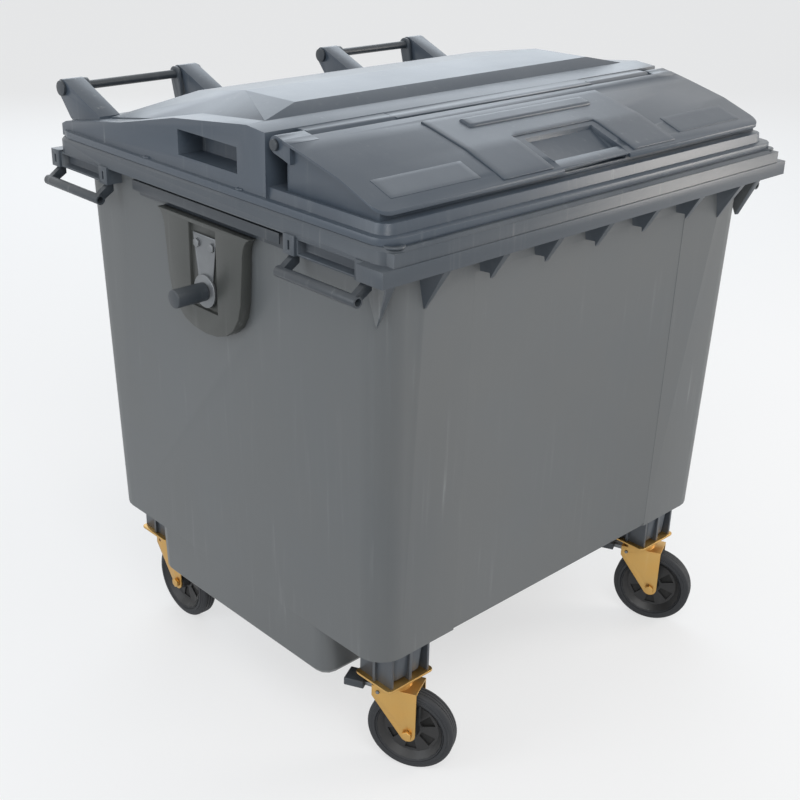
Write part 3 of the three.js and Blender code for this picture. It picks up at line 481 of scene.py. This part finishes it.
def knuckle(side):
    # The barrel of the main lid that the flap pin runs in, with a turned groove near each end.
    v = knuckleValues
    hinge = Vector(joints["flap_hinge"]["pos_m"])
    length = v["outer"] - v["inner"]
    bpy.ops.object.select_all(action="DESELECT")
    bpy.ops.mesh.primitive_cylinder_add(
        vertices=32, radius=v["radius"], depth=length,
        location=(sides[side] * (v["inner"] + v["outer"]) / 2, hinge.y, hinge.z),
        rotation=(0, math.pi / 2, 0),
    )
    piece = bpy.context.view_layer.objects.active
    piece.name = "flap_knuckle_" + side
    settle(piece)
    editFaces(piece, lambda face: abs(face.normal.x) > 0.9)
    bpy.ops.mesh.inset(thickness=v["lip"], depth=0)
    bpy.ops.mesh.inset(thickness=v["groove"], depth=-v["groove"])
    bpy.ops.object.mode_set(mode="OBJECT")
    bevel(piece, v["edge"])
    smooth(piece)
    dressAs(piece, "darkPlastic", "main_lid")


for side in sides:
    knuckle(side)
print("flap detailed")


# The cores of the caster towers and the webs of the hubs.

bootValues = {"half": 0.04, "top": 0.334, "foot": 0.2405, "flare": 1.16, "round": 0.012}


def cornerBoot(corner):
    # The moulded core between the ribs of a caster tower, wider at its head.
    v = bootValues
    low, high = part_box("caster_plate_" + corner)
    middle = (low + high) / 2
    piece = addCube(
        "tower_core_" + corner,
        (middle.x - v["half"], middle.y - v["half"], v["foot"]),
        (middle.x + v["half"], middle.y + v["half"], v["top"]),
    )
    editFaces(piece, lambda face: face.normal.z > 0.9)
    bpy.ops.transform.resize(
        value=(v["flare"], v["flare"], 1), center_override=(middle.x, middle.y, v["top"]),
    )
    bpy.ops.object.mode_set(mode="OBJECT")
    bevel(piece, v["round"], 4, 60)
    smooth(piece)
    # The core takes the rim's darker colour, which is painted shade.
    dressAs(piece, "rimPaintedShade", "tub")


backValues = {"radius": 0.0715, "thickness": 0.003, "border": 0.008, "step": 0.002, "sink": 0.0008}


def wheelBack(corner):
    # The near-black web in the middle of a hub that closes its windows, painted shade seen through them.
    v = backValues
    spin = joints["wheel_spin_" + corner]
    axis = Vector(spin["axis"])
    bpy.ops.object.select_all(action="DESELECT")
    bpy.ops.mesh.primitive_cylinder_add(
        vertices=48, radius=v["radius"], depth=v["thickness"], location=spin["pos_m"],
        rotation=(0, math.pi / 2, math.atan2(axis.y, axis.x)),
    )
    piece = bpy.context.view_layer.objects.active
    piece.name = "hub_web_" + corner
    settle(piece)
    editFaces(piece, lambda face: abs(face.normal.dot(axis)) > 0.9)
    bpy.ops.mesh.inset(thickness=v["border"], depth=0)
    bpy.ops.mesh.inset(thickness=v["step"], depth=-v["sink"])
    bpy.ops.object.mode_set(mode="OBJECT")
    smooth(piece)
    dressAs(piece, "shadePlastic", "wheel_" + corner)


for corner in corners:
    cornerBoot(corner)
    wheelBack(corner)
print("boots and hub webs made")


# Hand recesses, trunnion straps, bumps and bosses.

recessValues = {
    "inner": 0.588, "outer": 0.614, "halfLength": 0.0842, "low": 1.188, "high": 1.2228,
    "wall": 0.004, "depth": 0.019, "draft": 0.002, "edge": 0.0012,
}


def handRecess(side, end):
    # The shallow pocket between the two posts that carry a handle.
    v = recessValues
    low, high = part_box("handle_" + end + "_" + side)
    middle = (low.y + high.y) / 2
    sign = sides[side]
    piece = addCube(
        "hand_recess_" + end + "_" + side,
        (sign * v["inner"], middle - v["halfLength"], v["low"]),
        (sign * v["outer"], middle + v["halfLength"], v["high"]),
    )
    editFaces(piece, lambda face: face.normal.x * sign > 0.9)
    bpy.ops.mesh.inset(thickness=v["wall"], depth=0)
    bpy.ops.mesh.inset(thickness=v["draft"], depth=-v["depth"])
    bpy.ops.object.mode_set(mode="OBJECT")
    bevel(piece, v["edge"])
    smooth(piece)
    # The pocket takes the rim's darker colour, which is painted shade.
    dressAs(piece, "rimPaintedShade", "tub")


strapValues = {
    "inner": 0.5965, "outer": 0.599, "half": 0.04, "low": 1.05, "high": 1.149, "taper": 0.62,
    "border": 0.004, "step": 0.001, "sink": 0.0007, "edge": 0.0006,
}


def trunnionStrap(side):
    # The pressed strap that runs down from the two bolts to the pin, narrower at its foot.
    v = strapValues
    low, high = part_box("trunnion_sleeve_" + side)
    middle = (low.y + high.y) / 2
    sign = sides[side]
    piece = addCube(
        "trunnion_strap_" + side,
        (sign * v["inner"], middle - v["half"], v["low"]),
        (sign * v["outer"], middle + v["half"], v["high"]),
    )
    editFaces(piece, lambda face: face.normal.z < -0.9)
    bpy.ops.transform.resize(
        value=(1, v["taper"], 1), center_override=(sign * v["outer"], middle, v["low"]),
    )
    bpy.ops.object.mode_set(mode="OBJECT")
    editFaces(piece, lambda face: face.normal.x * sign > 0.9)
    bpy.ops.mesh.inset(thickness=v["border"], depth=0)
    bpy.ops.mesh.inset(thickness=v["step"], depth=-v["sink"])
    bpy.ops.object.mode_set(mode="OBJECT")
    bevel(piece, v["edge"])
    smooth(piece)
    dressAs(piece, "clearZinc", "tub")


dishValues = {"border": 0.25, "step": 0.1, "sink": 0.0008}  # border and step are parts of the radius
knobValues = {
    "bump": {"radius": 0.009, "height": 0.003, "crown": 0.0024},
    "boss": {"radius": 0.021, "height": 0.0026, "crown": 0.0018},
}


def knob(name, kind, place, body, finishName):
    # A low round knob with a crowned edge and a dished top, moulded on a flat face.
    v = knobValues[kind]
    bpy.ops.object.select_all(action="DESELECT")
    bpy.ops.mesh.primitive_cylinder_add(
        vertices=32, radius=v["radius"], depth=2 * v["height"], location=place,
    )
    piece = bpy.context.view_layer.objects.active
    piece.name = name
    settle(piece)
    bevel(piece, v["crown"], 3)
    editFaces(piece, lambda face: face.normal.z > 0.99)
    bpy.ops.mesh.inset(thickness=v["radius"] * dishValues["border"], depth=0)
    bpy.ops.mesh.inset(thickness=v["radius"] * dishValues["step"], depth=-dishValues["sink"])
    bpy.ops.object.mode_set(mode="OBJECT")
    smooth(piece)
    dressAs(piece, finishName, body)


knobPlaces = {
    "flangeX": 0.601, "flangeTop": 1.2723, "rows": {"front": -0.14, "rear": 0.18},
    "bossX": 0.585, "bossY": -0.555, "rimTop": 1.258,
}
for side, sign in sides.items():
    handRecess(side, "front")
    handRecess(side, "rear")
    trunnionStrap(side)
    for row, along in knobPlaces["rows"].items():
        knob(
            "lid_bump_" + row + "_" + side, "bump",
            (sign * knobPlaces["flangeX"], along, knobPlaces["flangeTop"]), "main_lid", "lidPlastic",
        )
    bossPlace = (sign * knobPlaces["bossX"], knobPlaces["bossY"], knobPlaces["rimTop"])
    # The boss takes the rim's darker colour, which is painted shade.
    knob("rim_boss_" + side, "boss", bossPlace, "tub", "rimPaintedShade")
print("recesses, straps and bosses made")


# The tyres.

tyreValues = {
    "outer": 0.1, "inner": 0.0757, "halfWidth": 0.023, "treadHalf": 0.013, "grooveDepth": 0.0016,
    "grooveHalf": 0.0012, "grooveAt": 0.008, "shoulder": 0.0065, "steps": 64,
}


def tyreProfile():
    # Half of the section, from the inner lip over the wall to the middle of the tread.
    v = tyreValues
    wall = [
        (v["inner"], v["halfWidth"] - 0.004),
        (v["inner"] + 0.003, v["halfWidth"] - 0.001),
        (v["inner"] + 0.004, v["halfWidth"] - 0.0028),
        (v["inner"] + 0.0055, v["halfWidth"] - 0.0002),
        (v["inner"] + 0.0115, v["halfWidth"] - 0.0004),
        (v["inner"] + 0.0122, v["halfWidth"] - 0.0022),
        (v["inner"] + 0.0165, v["halfWidth"] - 0.003),
    ]
    for step in range(5):
        turn = step / 4 * math.pi / 2
        radius = v["outer"] - v["shoulder"] + v["shoulder"] * math.sin(turn)
        wall.append((radius, v["treadHalf"] - 0.001 + v["shoulder"] * math.cos(turn)))
    for middle in (v["grooveAt"], 0.0):
        wall += [
            (v["outer"], middle + v["grooveHalf"]),
            (v["outer"] - v["grooveDepth"], middle + v["grooveHalf"] * 0.5),
        ]
        if middle:
            wall += [
                (v["outer"] - v["grooveDepth"], middle - v["grooveHalf"] * 0.5),
                (v["outer"], middle - v["grooveHalf"]),
            ]
    return wall + [(radius, -along) for radius, along in reversed(wall)]


def tyre(corner):
    node = "tyre_" + corner
    spin = joints["wheel_spin_" + corner]
    axis = Vector(spin["axis"])
    centre = Vector(spin["pos_m"])
    profile = tyreProfile()
    count = len(profile)
    bpy.ops.object.select_all(action="DESELECT")
    bpy.ops.mesh.primitive_circle_add(vertices=count, radius=0.01)
    piece = bpy.context.view_layer.objects.active
    piece.name = node + "_body"
    for vertex, (radius, along) in zip(piece.data.vertices, profile):
        vertex.co = (along, 0, radius)
    bpy.ops.object.mode_set(mode="EDIT")
    bpy.ops.mesh.select_all(action="SELECT")
    bpy.ops.mesh.spin(
        steps=tyreValues["steps"], angle=2 * math.pi, center=(0, 0, 0), axis=(1, 0, 0),
    )
    bpy.ops.mesh.select_all(action="SELECT")
    bpy.ops.mesh.remove_doubles(threshold=mergeDistance)
    bpy.ops.mesh.normals_make_consistent(inside=False)
    bpy.ops.object.mode_set(mode="OBJECT")
    piece.rotation_euler = (0, 0, math.atan2(axis.y, axis.x))
    piece.location = centre
    settle(piece)
    smooth(piece, 30)
    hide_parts(node)
    attach(piece, "wheel_" + corner, "rubber")


for corner in corners:
    tyre(corner)
print("tyres made")


# Camera, lights and floor.

viewValues = {
    "azimuth": -44.12, "elevation": 24.44, "roll": 1.54, "distance": 3.217,
    "target": (-0.0019, 0.0205, 0.5949), "lens": 57.46,
}


def makeCamera():
    v = viewValues
    azimuth = math.radians(v["azimuth"])
    elevation = math.radians(v["elevation"])
    roll = math.radians(v["roll"])
    back = Vector((
        math.sin(azimuth) * math.cos(elevation),
        -math.cos(azimuth) * math.cos(elevation),
        math.sin(elevation),
    ))
    level = Vector((0, 0, 1)).cross(back).normalized()
    upright = back.cross(level)
    right = level * math.cos(roll) + upright * math.sin(roll)
    up = upright * math.cos(roll) - level * math.sin(roll)
    data = bpy.data.cameras.new("camera")
    data.lens = v["lens"]
    data.sensor_width = 36
    camera = bpy.data.objects.new("camera", data)
    bpy.context.scene.collection.objects.link(camera)
    turn = Matrix((right, up, back)).transposed()
    camera.matrix_world = Matrix.Translation(Vector(v["target"]) + back * v["distance"]) @ turn.to_4x4()
    bpy.context.scene.camera = camera


lightValues = {
    "keyLight": {"at": (-2.2, -3.2, 3.8), "aim": (0, 0, 0.6), "size": (2.4, 2.4), "power": 75,
                 "colour": (1, 1, 1)},
    "sideLight": {"at": (3.6, -2.6, 1.6), "aim": (0, -0.4, 0.7), "size": (1.8, 1.8), "power": 60,
                  "colour": (1.0, 0.94, 0.87)},
    "sheenLight": {"at": (3.2, 4.6, 3.6), "aim": (0, 0, 1.3), "size": (6.0, 4.0), "power": 120,
                   "colour": (0.78, 0.89, 1.0)},
    "fillLight": {"at": (-4.2, 0.8, 2.0), "aim": (0, 0, 0.7), "size": (2.0, 2.4), "power": 38,
                  "colour": (0.9, 0.95, 1.0)},
}


def areaLight(name):
    v = lightValues[name]
    data = bpy.data.lights.new(name, "AREA")
    data.shape = "RECTANGLE"
    data.size, data.size_y = v["size"]
    data.energy = v["power"]
    data.color = v["colour"]
    light = bpy.data.objects.new(name, data)
    bpy.context.scene.collection.objects.link(light)
    direction = Vector(v["aim"]) - Vector(v["at"])
    light.location = v["at"]
    light.rotation_euler = direction.to_track_quat("-Z", "Y").to_euler()


floorValues = {"size": 30, "tone": (0.92, 0.92, 0.92, 1), "roughness": 0.9, "glow": 0.6}


def makeFloor():
    # A pale floor that the camera and reflections see nearly white.
    v = floorValues
    bpy.ops.object.select_all(action="DESELECT")
    bpy.ops.mesh.primitive_plane_add(size=v["size"], location=(0, 0, 0))
    floor = bpy.context.view_layer.objects.active
    floor.name = "floor"
    material = bpy.data.materials.new("paleFloor")
    material.use_nodes = True
    shader = material.node_tree.nodes["Principled BSDF"]
    shader.inputs["Base Color"].default_value = v["tone"]
    shader.inputs["Roughness"].default_value = v["roughness"]
    tree = material.node_tree
    path = tree.nodes.new("ShaderNodeLightPath")
    glow = tree.nodes.new("ShaderNodeEmission")
    glow.inputs["Color"].default_value = (1, 1, 1, 1)
    seen = mathNode(tree, "MAXIMUM", path.outputs["Is Camera Ray"], path.outputs["Is Glossy Ray"])
    seen = mathNode(tree, "MAXIMUM", seen, path.outputs["Is Transmission Ray"])
    mix = tree.nodes.new("ShaderNodeMixShader")
    tree.links.new(mathNode(tree, "MULTIPLY", seen, v["glow"]), mix.inputs[0])
    tree.links.new(shader.outputs[0], mix.inputs[1])
    tree.links.new(glow.outputs[0], mix.inputs[2])
    tree.links.new(mix.outputs[0], tree.nodes["Material Output"].inputs["Surface"])
    floor.data.materials.append(material)


worldValues = {"tint": (0.92, 0.96, 1.0, 1), "strength": 0.5}


def makeWorld():
    # A cool sky for the light, and plain white for what the camera sees.
    world = bpy.data.worlds.new("world")
    bpy.context.scene.world = world
    world.use_nodes = True
    tree = world.node_tree
    background = tree.nodes["Background"]
    background.inputs["Color"].default_value = worldValues["tint"]
    background.inputs["Strength"].default_value = worldValues["strength"]
    white = tree.nodes.new("ShaderNodeBackground")
    white.inputs["Color"].default_value = (1, 1, 1, 1)
    path = tree.nodes.new("ShaderNodeLightPath")
    mix = tree.nodes.new("ShaderNodeMixShader")
    seen = mathNode(tree, "MAXIMUM", path.outputs["Is Camera Ray"], path.outputs["Is Glossy Ray"])
    seen = mathNode(tree, "MAXIMUM", seen, path.outputs["Is Transmission Ray"])
    tree.links.new(seen, mix.inputs[0])
    tree.links.new(background.outputs[0], mix.inputs[1])
    tree.links.new(white.outputs[0], mix.inputs[2])
    tree.links.new(mix.outputs[0], tree.nodes["World Output"].inputs["Surface"])


makeCamera()
makeFloor()
makeWorld()
for name in lightValues:
    areaLight(name)
bpy.context.scene.view_settings.view_transform = "Standard"
print("camera, lights and floor placed")
